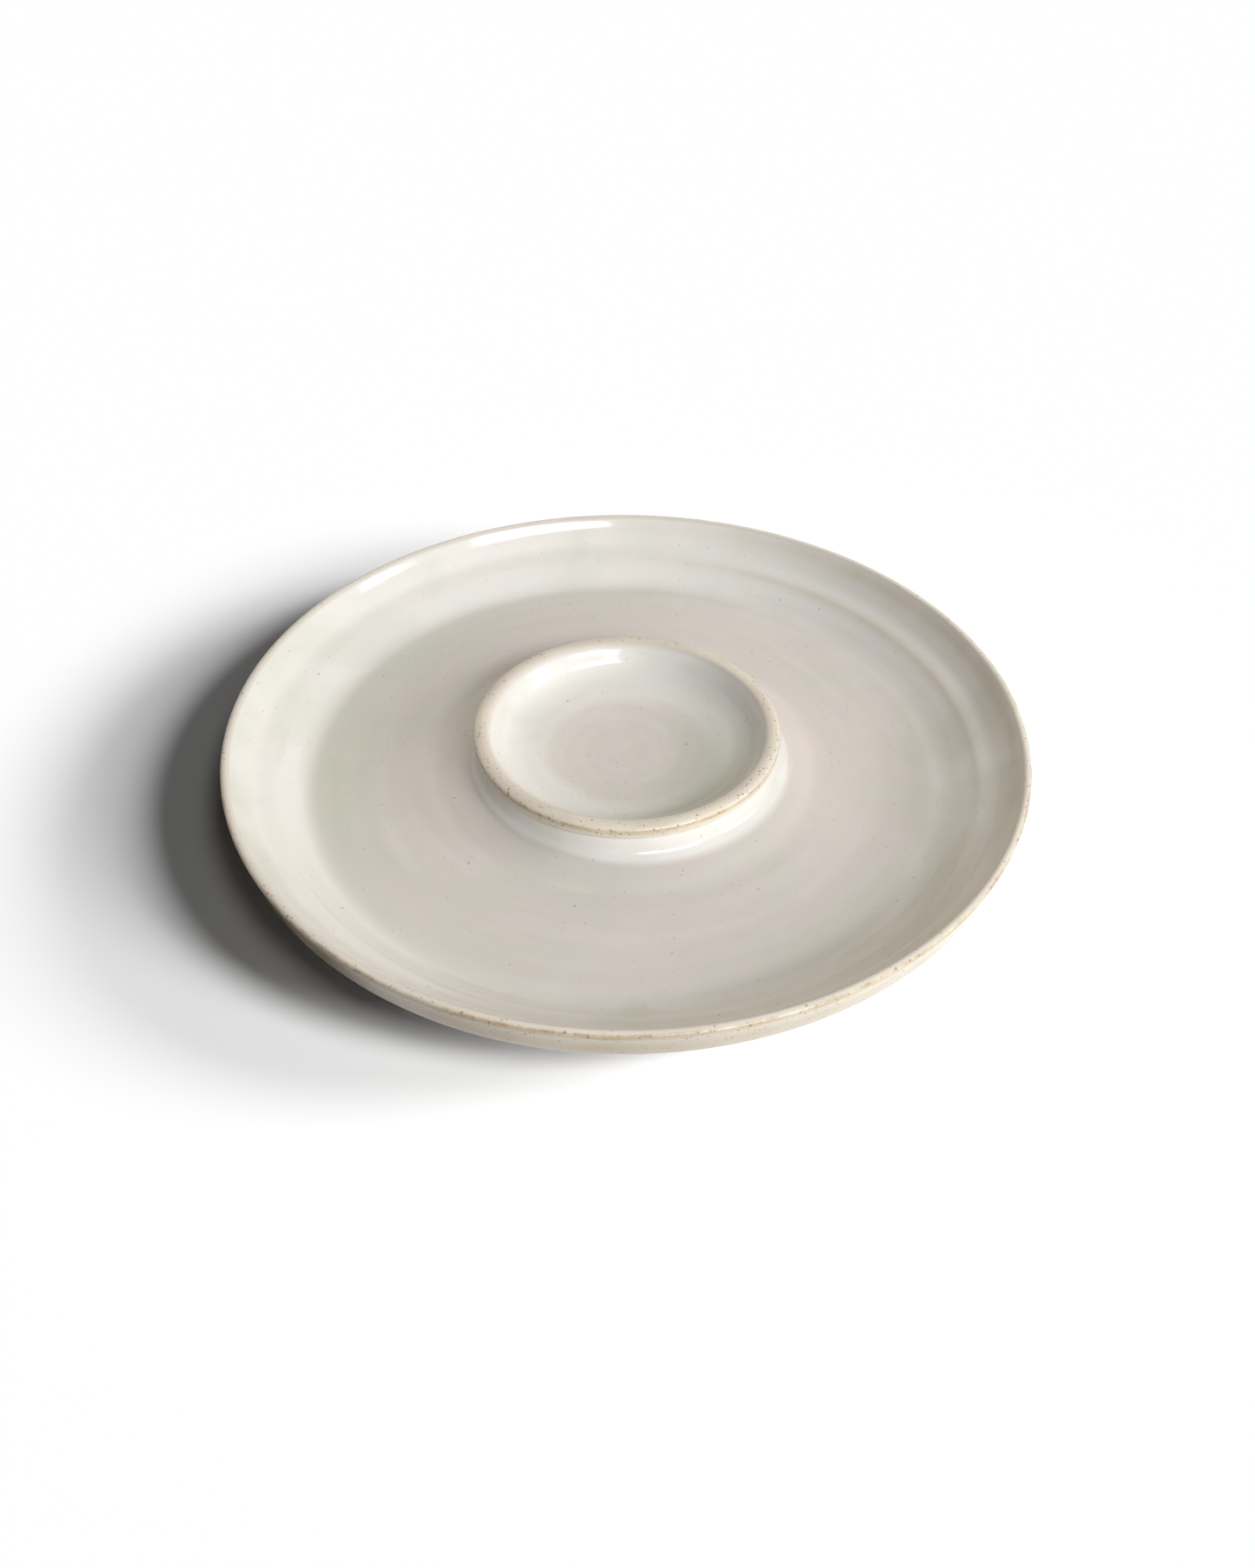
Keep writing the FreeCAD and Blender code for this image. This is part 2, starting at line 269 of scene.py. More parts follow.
def rounded(corners):
    """Straight runs between the corners, with an arc of its own radius at each corner that has a rounding.
    A point of the arc is the centre plus the turned radius, from the end of one run to the start of the next."""
    path = [np.array([corners[0][:2]])]
    for before, corner, after in zip(corners, corners[1:], corners[2:]):
        here = np.array(corner[:2])
        back = np.array(before[:2]) - here
        ahead = np.array(after[:2]) - here
        reach = SHORTEST_LEG * min(np.hypot(*back), np.hypot(*ahead))
        back, ahead = back / np.hypot(*back), ahead / np.hypot(*ahead)
        half = math.acos(np.clip(back @ ahead, -1, 1)) / 2
        radius = min(corner[2], reach * math.tan(half))
        if radius <= 0:
            path.append(here[None])
            continue
        centre = here + (back + ahead) / np.hypot(*(back + ahead)) * radius / math.sin(half)
        first = (here + back * radius / math.tan(half) - centre) / radius
        last = (here + ahead * radius / math.tan(half) - centre) / radius
        sweep = math.pi - 2 * half
        share = np.linspace(0, 1, ARC_POINTS)[:, None]
        path.append(centre + radius * (np.sin((1 - share) * sweep) * first + np.sin(share * sweep) * last)
                    / math.sin(sweep))
    path.append(np.array([corners[-1][:2]]))
    return np.concatenate(path)


def arc_lengths(path):
    """Distance along a path to each of its points."""
    return np.concatenate([[0], np.cumsum(np.hypot(*np.diff(path, axis=0).T))])


def smoothed(values, spread):
    """Values under a bell-shaped window of that spread in samples, turned over at both ends."""
    reach = int(3 * spread) + 1
    window = np.exp(-0.5 * (np.arange(-reach, reach + 1) / spread) ** 2)
    before = 2 * values[0] - values[reach:0:-1]
    after = 2 * values[-1] - values[-2:-reach - 2:-1]
    padded = np.concatenate([before, values, after])
    return np.convolve(padded, window / window.sum(), "valid")


def across(path):
    """Outward direction (radius, height) at each point: the path's own direction turned left."""
    way = np.gradient(path, axis=0)
    way /= np.hypot(*way.T)[:, None]
    return np.stack([-way[:, 1], way[:, 0]], 1)


def profile(shape):
    """Rows of the sheet: arc length, place (radius, height), outward direction, and the row of each parting.
    Rows lie closer where the profile bends."""
    corners, partings = corners_of(shape)
    rough = rounded(corners)
    arc = arc_lengths(rough)
    steps = np.arange(0, arc[-1], FINE_STEP)
    path = np.stack([np.interp(steps, arc, rough[:, side]) for side in (0, 1)], 1)
    path = np.stack([smoothed(path[:, side], SOFTENING / FINE_STEP) for side in (0, 1)], 1)
    out = across(path)
    bend = np.hypot(*np.gradient(out, axis=0).T) / FINE_STEP
    crowd = np.cumsum(1 / ROW_STEP + np.minimum(bend * BEND_ROWS / ROW_STEP, MOST_EXTRA / ROW_STEP)) * FINE_STEP
    rows = np.searchsorted(crowd, np.arange(crowd[0], crowd[-1], 1.0))
    rows = np.unique(np.append(rows, [0, len(steps) - 1]))
    part_rows = {name: int(np.argmin(np.hypot(*(path[rows] - place).T))) for name, place in partings.items()}
    return steps[rows], path[rows], out[rows], part_rows


# How thick the glaze lies along the profile: from a parting, how far on in mm, and from -1, thin, to 1, thick.
# It draws away from lips and soft edges and gathers in hollows.
LIES = (
    ("middle", 0, 0.0), ("middle", 27, 0.0), ("middle", 36, 0.6), ("middle", 48, 0.7), ("lip", -8, 0.5),
    ("lip", -6, -0.1), ("lip", -4, -0.6), ("lip", 0, -0.8), ("lip", 3, -0.4), ("waist", -0.5, 0.2),
    ("waist", 1, 1.1), ("waist", 7.0, 1.1), ("waist", 10.0, -0.1), ("collar", 0, 0.0), ("rim", -58, 0.0),
    ("rim", -44, 0.1), ("rim", -36, 0.5), ("rim", -27, 0.8), ("rim", -24, 0.5), ("rim", -21, 0.8),
    ("rim", -4.8, 0.8), ("rim", -3.6, 0.2), ("rim", -2.4, -0.5), ("rim", 0, -0.8), ("rim", 4, -0.5),
    ("rim", 15, -0.3), ("foot", -40, -0.1), ("foot", 0, 0.0),
)

# Where the glaze is greyer and darker, on the flat round the wall's foot and on the right of the bowl: parting, the
# four places in mm between which it comes in and goes out again, direction and spread round the axis in degrees,
# and how strongly.  On the left of the flat it is glaze that ran together, darkened further as painted shade; at
# the front right of the flat it is painted shade from the wall, and in the bowl painted shade from the bowl's lip.
POOLS_AND_SHADE = (
    # left of the flat: pooled glaze with painted shade; front right of the flat: painted shade from the wall
    ("rim", (-74, -54, -42, -34), 174, 52, 1.0), ("rim", (-66, -46, -42, -34), 305, 26, 0.5),
    # painted shade that the bowl's lip casts on the right of the bowl's floor
    ("middle", (14, 26, 46, 54), 330, 60, 0.85),
)

# Where the clay's iron stained the glaze, and where shade is painted on in the same tan: parting, how far on in mm,
# width along the profile in mm, how strongly, and direction and spread round the axis in degrees, with a spread of
# 0 for all round.  The band outside at the left front and the wall under the rim at the right are tan glaze
# darkened further as painted shade; the band along the soft step at the right is painted shade.
STAINS_AND_SHADE = (
    # the third row here is stain and painted shade on the band outside at the left front
    ("rim", 0.5, 1.1, 0.75, 0, 0), ("rim", 8, 6.0, 0.45, 0, 0), ("rim", 7, 6.0, 0.8, 215, 45),
    # painted shade at the right: with some stain under the rim, and wholly painted shade along the soft step
    ("rim", -7.5, 4.5, 0.45, 20, 50), ("rim", -23.8, 2.8, 0.32, 35, 50),
    ("lip", 1.1, 1.0, 0.65, 0, 0), ("lip", -2.5, 3.5, 0.3, 0, 0),
)

# Where the glaze breaks in a dark line: parting, how far on and width in mm, and how strongly.
BREAKS = (("rim", -0.4, 0.5, 1.0), ("lip", 0.4, 0.5, 0.8))

# Where throwing rings show: the four places, each a parting and how far on in mm, between which they come in and go
# out again.
BOWL_RINGS = (("middle", 0), ("middle", 8), ("lip", -22), ("lip", -9))
WELL_RINGS = (("collar", 0), ("collar", 8), ("rim", -20), ("rim", -8))
OUTSIDE_RINGS = (("rim", 6), ("rim", 12), ("foot", -9), ("foot", 0))
OUTSIDE_SHARE = 0.5          # their height outside, against that in the well
STEADY_FOOT = 20 * MM        # over this run before the foot the shape goes back to a true circle


# ---------------------------------------------------------------- the thrown sheet
class Sheet:
    """Grid of the thrown surface: rows along the profile, columns round the axis."""

    def __init__(self, points, normals, clay, depth, pool, edge, wash_and_shade, wheel, part):
        self.points = points     # outside of the glaze
        self.normals = normals
        self.clay = clay         # surface of the clay under it
        self.depth = depth       # how thick the glaze lies, from -1 on an edge to 1 in a hollow
        self.pool = pool         # 1 where it gathered deepest
        self.edge = edge         # 1 where it gathered deepest, and where shade is painted on as greyer glaze
        self.wash_and_shade = wash_and_shade         # 1 where the clay's iron stains it, below that break, and where shade is painted on in tan
        self.wheel = wheel       # cosine and sine of the turn, and arc length in decimetres
        self.part = part         # rows where pieces part


def fade(value, start, end):
    """0 up to start, 1 from end, and an even ease between them."""
    share = np.clip((value - start) / (end - start), 0, 1)
    return share * share * (3 - 2 * share)


def stretch(arc, start, full, still, end):
    """0 up to start, 1 between full and still, 0 again from end, with even eases between them."""
    return fade(arc, start, full) * (1 - fade(arc, still, end))


def arch(arc, start, end):
    """The square of half a sine wave between two places on the profile: 1 half-way and 0 outside."""
    return np.sin(math.pi * np.clip((arc - start) / (end - start), 0, 1)) ** 2


def bump_at(arc, middle, width):
    """Bell-shaped weight round a place on the profile."""
    return np.exp(-((arc - middle) / width) ** 2)


def lobe(turn, middle, spread):
    """Bell-shaped weight round a direction, both in degrees, over the turn in radians."""
    return np.exp(-(2 * np.sin((turn - math.radians(middle)) / 2) / math.radians(spread)) ** 2)


def turned(radii, heights):
    """Points of the grid, (r cos t, r sin t, h) for each direction t, from a column of radii or one for each point,
    and heights to match."""
    radii, heights, turn = np.broadcast_arrays(radii, heights, TURN)
    return np.stack([radii * np.cos(turn), radii * np.sin(turn), heights], 2)


def thrown(shape, hand):
    """The sheet.  With t the turn and s the arc length, a point of the profile is pushed outwards by the throwing
    rings, height * sin(2 pi s / spacing - t), which wind in one long spiral.  Then its radius changes by an oval
    and a three-cornered lobe and its height by a warp, all growing towards the rim."""
    arc, path, out, part = profile(shape)
    s, t = arc[:, None], TURN[None]
    radius, height = path[:, :1], path[:, 1:]
    at = {"middle": 0, **{name: arc[row] for name, row in part.items()}}

    in_bowl, in_well, outside = (stretch(s, *(at[name] + ahead * MM for name, ahead in places))
                                 for places in (BOWL_RINGS, WELL_RINGS, OUTSIDE_RINGS))
    spiral = np.sin(2 * math.pi * s / hand.ring_spacing - t)
    bowl_spiral = np.sin(2 * math.pi * s / hand.bowl_ring_spacing - t)
    push = (hand.ring_height * (in_well + OUTSIDE_SHARE * outside) * spiral
            + hand.bowl_ring_height * in_bowl * bowl_spiral - hand.whorl * bump_at(radius, 0, hand.whorl_radius))

    grown = (radius / shape.rim_radius) ** 2 * (1 - fade(s, at["foot"] - STEADY_FOOT, at["foot"]))
    lobes = (hand.two_lobes * (np.cos(2 * (t - hand.two_lobes_at)) - 1)
             + hand.three_lobes * (np.cos(3 * (t - hand.three_lobes_at)) - 1))
    dip = hand.warp * (np.cos(2 * (t - hand.warp_at)) - 1)
    shift = hand.collar_shift * np.cos(t - hand.collar_shift_at) * arch(s, at["waist"], at["collar"])
    radii = radius + out[:, :1] * push + grown * lobes + shift
    heights = height + out[:, 1:] * push + grown * dip
    points = turned(radii, heights)

    along = np.gradient(points, axis=0)
    around = (np.roll(points, -1, 1) - np.roll(points, 1, 1)) / 2
    normals = np.cross(along, around)
    normals[0] = (0, 0, 1)
    normals /= np.linalg.norm(normals, axis=2, keepdims=True)

    lies = np.interp(arc, [at[name] + ahead * MM for name, ahead, _ in LIES], [thick for *_, thick in LIES])
    depth = lies[:, None] - hand.ring_tone * (in_well * spiral + in_bowl * bowl_spiral)
    # greyer where the glaze pooled, and painted shade in the same grey-green
    pool = sum(strength * lobe(t, middle, spread) * stretch(s, *(at[name] + place * MM for place in places))
               for name, places, middle, spread, strength in POOLS_AND_SHADE)
    edge = sum(strength * bump_at(s, at[name] + ahead * MM, width * MM) for name, ahead, width, strength in BREAKS)
    # tan where the clay's iron stains the glaze, and painted shade in the same tan
    wash_and_shade = sum(strength * bump_at(s, at[name] + ahead * MM, width * MM)
               * (lobe(t, middle, spread) if spread else 1)
               for name, ahead, width, strength, middle, spread in STAINS_AND_SHADE)
    pool, edge, wash_and_shade = (np.broadcast_to(layer, depth.shape) for layer in (pool, edge, wash_and_shade))
    wheel = np.stack(np.broadcast_arrays(np.cos(t), np.sin(t), s / DECIMETRE), 2)
    return Sheet(points, normals, points - normals * shape.glaze, depth, pool, edge, wash_and_shade, wheel, part)


# ---------------------------------------------------------------- meshes
SHARP_ANGLE = 40             # faces that meet at more degrees than this are shaded apart
BODY_FLOOR_ROWS = 10         # rows of the flat top of the platter's clay, under the bowl
FLAT_ROWS = 12               # rows of any other flat face that the glaze hides
FOOT_ROWS = 24               # rows round the section of the foot ring
RECESS_ROWS = 110            # rows of the recess's coat, close enough for its turning rings
RECESS_FADE = (8 * MM, 5 * MM)   # runs over which those rings come in at the middle and go out at the foot


def quads(rows, wrap):
    """Corner numbers of the squares between neighbouring rows, and between the last and the first if they wrap."""
    first = np.arange(rows if wrap else rows - 1)[:, None] * TURNS
    second = (first + TURNS) % (rows * TURNS)
    column, beside = np.arange(TURNS), (np.arange(TURNS) + 1) % TURNS
    return np.stack([first + column, second + column, second + beside, first + beside], 2).reshape(-1, 4)


def fan(centre, start, facing):
    """Triangles from a pole to the row next to it, the other way round where facing is False."""
    column, beside = start + np.arange(TURNS), start + (np.arange(TURNS) + 1) % TURNS
    pole = np.full(TURNS, centre)
    return np.stack([pole, column, beside] if facing else [pole, beside, column], 1)


def volume(points, faces):
    """Six times the volume that triangles close in, below 0 where they face inwards."""
    a, b, c = (points[faces[:, corner]] for corner in range(3))
    return float(np.einsum("ij,ij->i", a, np.cross(b, c)).sum())


def piece(name, node, rows, material, closed_ring, normals=None, layers=None):
    """Makes a closed mesh from rows of points.  A ring's last row meets its first one; any other piece starts and
    ends in a pole on the axis.  layers are values or vectors for each point, normals are its shading normals."""
    points = rows.reshape(-1, 3)
    keep = np.arange(len(points))
    if closed_ring:
        four, three = quads(len(rows), True), np.zeros((0, 3), int)
    else:
        middle = len(rows) - 2
        keep = np.concatenate([[0], np.arange(TURNS, TURNS * (middle + 1)), [TURNS * (middle + 1)]])
        four = quads(middle, False) + 1
        three = np.concatenate([fan(0, 1, True), fan(TURNS * middle + 1, TURNS * (middle - 1) + 1, False)])
        points = points[keep]
    halves = np.concatenate([four[:, [0, 1, 2]], four[:, [0, 2, 3]], three])
    if volume(points, halves) < 0:
        four, three = four[:, ::-1], three[:, ::-1]
    mesh = bpy.data.meshes.new(name)
    mesh.from_pydata(points.tolist(), [], four.tolist() + three.tolist())
    mesh.shade_smooth()
    mesh.set_sharp_from_angle(angle=math.radians(SHARP_ANGLE))
    for layer, values in (layers or {}).items():
        values = values.reshape(len(rows) * TURNS, -1)[keep]
        kind, field = ("FLOAT", "value") if values.shape[1] == 1 else ("FLOAT_VECTOR", "vector")
        mesh.attributes.new(layer, kind, "POINT").data.foreach_set(field, values.astype(np.float32).ravel())
    if normals is not None:
        mesh.normals_split_custom_set_from_vertices(normals.reshape(-1, 3)[keep].tolist())
    mesh.materials.append(material)
    made = bpy.data.objects.new(name, mesh)
    bpy.context.scene.collection.objects.link(made)
    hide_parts(node)
    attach(made, BODY)
    return made


def coat(name, node, sheet, first, last, material):
    """Glaze between two partings: the sheet outside, every fourth row of the clay's surface inside, and the glaze's
    thickness between them at both ends."""
    outer = np.arange(first, last + 1)
    inner = np.unique(np.append(np.arange(first, last, INNER_STEP), last))[::-1]
    rows = np.concatenate([outer, inner])
    points = np.concatenate([sheet.points[outer], sheet.clay[inner]])
    normals = np.concatenate([sheet.normals[outer], np.zeros((len(inner), TURNS, 3))])
    layers = {"depth": sheet.depth[rows], "pool": sheet.pool[rows], "edge": sheet.edge[rows],
              "wash_and_shade": sheet.wash_and_shade[rows], "wheel": sheet.wheel[rows]}
    return piece(name, node, points, material, first > 0, normals, layers)


# ---------------------------------------------------------------- materials
FACTOR, A, B, MIXED = 0, 6, 7, 2     # sockets of a Mix node that mixes colours, the last one on its way out
LOW, HIGH, LEAST, MOST = 1, 2, 3, 4  # sockets of a Map Range node: the range it reads and the range it gives
WHITE = (1.0, 1.0, 1.0, 1.0)
IOR = 1.5                    # of fired glaze, and of clay

# Sizes of the patterns.
CLOUD = 30 * MM              # clouds in the glaze's thickness, and rosy ones
BROAD_CLOUD = 70 * MM        # greyer clouds, where the coat was poured twice
WASH_CLOUD = 22 * MM         # clouds in the tan wash
TEAR = 6.5 * MM              # tears in the tan line, which go on ever finer
WHEEL_BANDS = (1.2, 1.2, 16.0)   # bands that follow the wheel: long round the axis, 6 mm wide along the profile
PEEL, PEEL_DEPTH = 3 * MM, 0.03 * MM     # faint orange peel of the fired skin
CLAY_CLOUD = 17 * MM         # clouds in the colour of the clay
IRON_CELL = 1.6 * MM         # a speck of iron, about 0.5 mm across, in each cell of the clay
GRIT, GRIT_DEPTH = 0.6 * MM, 0.1 * MM    # grit in the bare skin

UNDER_GLAZE = ("buff stoneware, thrown, under glaze", 0.3)       # the clay's finishes, and how gritty they are
BARE_FOOT = ("buff stoneware, turned and sponged bare", 0.5)

DRIFT = 0.3                  # how far clouds and bands change how thick the glaze lies
SPECKS = ((3.4, 0.6, 0.45), (8.0, 0.75, 0.7))    # fine and coarse iron: cell and largest radius in mm, strength
BARE_SPECKS = (1.7, 0.75)    # the same for iron where the glaze lies thin, whose strength changes with it


def add(tree, kind, inputs=None, stops=None, **settings):
    """Adds one shader node: settings are its own, inputs are values, the outputs that feed its sockets, or nodes
    whose first output does, and stops are the places and colours of its ramp."""
    made = tree.nodes.new("ShaderNode" + kind)
    for name, value in settings.items():
        setattr(made, name, value)
    for socket, value in (inputs or {}).items():
        if isinstance(value, bpy.types.Node):
            value = value.outputs[0]
        if isinstance(value, bpy.types.NodeSocket):
            tree.links.new(value, made.inputs[socket])
        else:
            made.inputs[socket].default_value = value
    for order, (place, shade) in enumerate(stops or []):
        ramp = made.color_ramp.elements
        stop = ramp[order] if order < len(ramp) else ramp.new(place)
        stop.position, stop.color = place, shade
    return made


def new_material(name):
    """A material with an empty node tree, and its Object coordinates."""
    material = bpy.data.materials.get(name) or bpy.data.materials.new(name)
    material.use_nodes = True
    tree = material.node_tree
    tree.nodes.clear()
    return material, tree, add(tree, "TexCoord").outputs["Object"]


def cream_glaze(finish):
    """Glossy cream stoneware glaze, poured on and fired.  It lies thin and rosy over edges, white in hollows and
    grey-green where it pools, follows the throwing rings, lets iron specks through and breaks tan at the rims.
    Shade
    is painted into it too: grey-green near the wall's foot and in the bowl, tan on the band outside at the left
    front and on the wall at the right."""
    material, tree, place = new_material("cream stoneware glaze, poured and fired")
    depth, pool, edge, wash_and_shade = (add(tree, "Attribute", attribute_name=name).outputs["Fac"]
                               for name in ("depth", "pool", "edge", "wash_and_shade"))
    wheel = add(tree, "Attribute", attribute_name="wheel").outputs["Vector"]

    # how thick the glaze lies, from 0 to 1, which also drifts in clouds and in bands that follow the wheel
    clouds = add(tree, "TexNoise", {"Vector": place, "Scale": 1 / CLOUD, "Detail": 3.0})
    stretched = add(tree, "Mapping", {"Vector": wheel, "Scale": WHEEL_BANDS})
    bands = add(tree, "TexNoise", {"Vector": stretched, "Scale": 1.0, "Detail": 3.0})
    drift = add(tree, "Math", {0: clouds, 1: bands}, operation="ADD")
    lies = add(tree, "Math", {0: depth, 1: 0.5, 2: 0.5}, operation="MULTIPLY_ADD")
    lies = add(tree, "Math", {0: drift, 1: DRIFT, 2: lies}, operation="MULTIPLY_ADD")
    lies = add(tree, "Math", {0: lies, 1: DRIFT}, operation="SUBTRACT")
    shade = add(tree, "ValToRGB", {0: lies}, [(0.15, finish.thin), (0.48, finish.even), (0.80, finish.deep)])

    # grey-green where it pooled and where shade is painted on and, more faintly, in broad clouds
    pooled_and_shaded = add(tree, "Math", {0: pool, 1: drift}, operation="MULTIPLY", use_clamp=True)
    broad = add(tree, "TexNoise", {"Vector": place, "Scale": 1 / BROAD_CLOUD, "Detail": 3.0, "Distortion": 0.8})
    broad = add(tree, "MapRange", {"Value": broad, LOW: 0.48, HIGH: 0.68, LEAST: 0.0, MOST: 0.5})
    greyer_and_shaded = add(tree, "Math", {0: pooled_and_shaded, 1: broad}, operation="MAXIMUM")

    # rosy clouds, where the even coat lets the clay's warmth through
    rosy = add(tree, "TexNoise", {"Vector": place, "Scale": 1 / CLOUD, "Detail": 3.0, "Distortion": 0.6})
    rosy = add(tree, "MapRange", {"Value": rosy, LOW: 0.45, HIGH: 0.70, LEAST: 0.0, MOST: 0.6})
    thinner = add(tree, "MapRange", {"Value": depth, LOW: 0.0, HIGH: 0.5, LEAST: 1.0, MOST: 0.0})
    rosy = add(tree, "Math", {0: rosy, 1: thinner}, operation="MULTIPLY")

    # a tan wash under each rim, some of it painted shade, and the torn line where the glaze breaks
    wet = add(tree, "TexNoise", {"Vector": place, "Scale": 1 / WASH_CLOUD, "Detail": 4.0})
    wet = add(tree, "MapRange", {"Value": wet, LOW: 0.30, HIGH: 0.70, LEAST: 0.55, MOST: 1.0})
    stained_and_shaded = add(tree, "Math", {0: wash_and_shade, 1: wet}, operation="MULTIPLY", use_clamp=True)
    torn = add(tree, "TexNoise", {"Vector": place, "Scale": 1 / TEAR, "Detail": 8.0, "Roughness": 0.75})
    torn = add(tree, "MapRange", {"Value": torn, LOW: 0.42, HIGH: 0.62, LEAST: 0.05, MOST: 0.9})
    line = add(tree, "Math", {0: edge, 1: torn}, operation="MULTIPLY", use_clamp=True)
    for amount, tint in ((greyer_and_shaded, finish.pooled_and_shaded), (rosy, finish.blush), (stained_and_shaded, finish.stained_and_shaded),
                         (line, finish.broken)):
        shade = add(tree, "Mix", {FACTOR: amount, A: shade, B: tint}, data_type="RGBA").outputs[MIXED]

    # iron specks with soft edges, which the surface cuts out of balls
    bare = add(tree, "MapRange", {"Value": depth, LOW: -0.25, HIGH: -0.65, LEAST: 0.0, MOST: 0.9})
    for cell, radius, strength in (*SPECKS, (*BARE_SPECKS, bare)):
        spots = add(tree, "TexVoronoi", {"Vector": place, "Scale": 1 / (cell * MM)})
        pick = add(tree, "SeparateColor", {0: spots.outputs["Color"]})
        reach = add(tree, "Math", {0: pick, 1: radius / cell}, operation="MULTIPLY")
        soft = add(tree, "MapRange", {"Value": spots, LOW: 0.0, HIGH: reach, LEAST: strength, MOST: 0.0})
        shade = add(tree, "Mix", {FACTOR: soft, A: shade, B: finish.iron}, data_type="RGBA").outputs[MIXED]

    # the fired skin, a little duller along the tan line
    peel = add(tree, "TexNoise", {"Vector": place, "Scale": 1 / PEEL, "Detail": 2.0})
    skin = add(tree, "Bump", {"Height": peel, "Strength": 0.25, "Distance": PEEL_DEPTH})
    dull = add(tree, "MapRange", {"Value": line, LEAST: finish.gloss, MOST: finish.dull})
    shader = add(tree, "BsdfPrincipled", {"Base Color": shade, "Roughness": dull, "IOR": IOR, "Normal": skin})
    add(tree, "OutputMaterial", {0: shader})
    return material


def stoneware(finish, name, grittiness):
    """Buff stoneware, thrown, turned and fired bare: dry and gritty, and speckled with iron."""
    material, tree, place = new_material(name)
    clouds = add(tree, "TexNoise", {"Vector": place, "Scale": 1 / CLAY_CLOUD, "Detail": 4.0})
    warm = add(tree, "MapRange", {"Value": clouds, LOW: 0.3, HIGH: 0.7, LEAST: 0.82, MOST: 1.05})
    shade = add(tree, "Mix", {FACTOR: 1.0, A: finish.clay, B: warm}, data_type="RGBA",
                blend_type="MULTIPLY").outputs[MIXED]
    spots = add(tree, "TexVoronoi", {"Vector": place, "Scale": 1 / IRON_CELL})
    iron = add(tree, "MapRange", {"Value": spots, LOW: 0.10, HIGH: 0.22, LEAST: 0.6, MOST: 0.0})
    shade = add(tree, "Mix", {FACTOR: iron, A: shade, B: finish.iron}, data_type="RGBA").outputs[MIXED]
    grit = add(tree, "TexNoise", {"Vector": place, "Scale": 1 / GRIT, "Detail": 3.0})
    skin = add(tree, "Bump", {"Height": grit, "Strength": grittiness, "Distance": GRIT_DEPTH})
    shader = add(tree, "BsdfPrincipled", {"Base Color": shade, "Roughness": finish.dry, "IOR": IOR,
                                          "Normal": skin})
    add(tree, "OutputMaterial", {0: shader})
    return material


# ---------------------------------------------------------------- operators for the pieces
def settings(context):
    """Shape and finish, and the sheet that they give."""
    scene = context.scene
    return scene.server_shape, scene.server_finish, thrown(scene.server_shape, scene.server_hand)


class PlatterBody(bpy.types.Operator):
    """Makes the clay of the platter: floor, wall and rim, under its glaze"""
    bl_idname = "server.platter_body"
    bl_label = "Platter body"

    def execute(self, context):
        shape, finish, sheet = settings(context)
        top, bottom = shape.floor - shape.glaze, shape.underside + shape.glaze
        inwards = np.linspace(shape.foot_radius, 0, FLAT_ROWS)[1:, None]
        outwards = np.linspace(0, shape.collar_foot, BODY_FLOOR_ROWS)[:-1, None]
        rows = np.concatenate([turned(outwards, top), sheet.clay[sheet.part["collar"]:sheet.part["foot"] + 1:2],
                               turned(inwards, bottom)])
        piece("thrown_platter", "platter_body", rows,
              stoneware(finish, *UNDER_GLAZE), False)
        return {"FINISHED"}


class FootRing(bpy.types.Operator):
    """Makes the ring of bare clay that the platter stands on, turned and sponged smooth"""
    bl_idname = "server.foot_ring"
    bl_label = "Foot ring"

    def execute(self, context):
        shape, finish, _ = settings(context)
        top = shape.underside + shape.glaze
        corners = [(shape.foot_radius, top, 0), (shape.foot_radius, 0, shape.foot_round),
                   (shape.foot_inner, 0, shape.foot_round), (shape.foot_inner, top, 0)]
        outline = rounded(corners)
        arc = arc_lengths(outline)
        steps = np.unique(np.concatenate([arc, np.linspace(0, arc[-1], FOOT_ROWS)]))
        radii, heights = (np.interp(steps, arc, outline[:, side])[:, None] for side in (0, 1))
        piece("turned_foot", "foot_ring", turned(radii, heights),
              stoneware(finish, *BARE_FOOT), True)
        return {"FINISHED"}


class DipBowl(bpy.types.Operator):
    """Makes the clay of the dip bowl, from its floor over the lip to its waist and base"""
    bl_idname = "server.dip_bowl"
    bl_label = "Dip bowl"

    def execute(self, context):
        shape, finish, sheet = settings(context)
        rows = np.concatenate([sheet.clay[:sheet.part["waist"] + 1:2],
                               turned([[shape.bowl_base], [0]], shape.floor - shape.glaze)])
        piece("thrown_bowl", "dip_bowl", rows,
              stoneware(finish, *UNDER_GLAZE), False)
        return {"FINISHED"}


class JoiningCollar(bpy.types.Operator):
    """Makes the collar of clay that was thrown on round the bowl's base"""
    bl_idname = "server.joining_collar"
    bl_label = "Joining collar"

    def execute(self, context):
        shape, finish, sheet = settings(context)
        rows = np.concatenate([sheet.clay[sheet.part["waist"]:sheet.part["collar"] + 1],
                               turned([[shape.bowl_base]], shape.floor - shape.glaze)])
        piece("thrown_collar", "joining_collar", rows,
              stoneware(finish, *UNDER_GLAZE), True)
        return {"FINISHED"}


class GlazeCoats(bpy.types.Operator):
    """Makes the coats of glaze: in the bowl, over the chip well and down the outside"""
    bl_idname = "server.glaze_coats"
    bl_label = "Glaze coats"

    def execute(self, context):
        _, finish, sheet = settings(context)
        glaze = cream_glaze(finish)
        part = sheet.part
        coat("bowl_coat", "bowl_glaze", sheet, 0, part["lip"], glaze)
        coat("well_coat", "chip_well_glaze", sheet, part["lip"], part["rim"], glaze)
        coat("outside_coat", "outside_glaze", sheet, part["rim"], part["foot"], glaze)
        return {"FINISHED"}


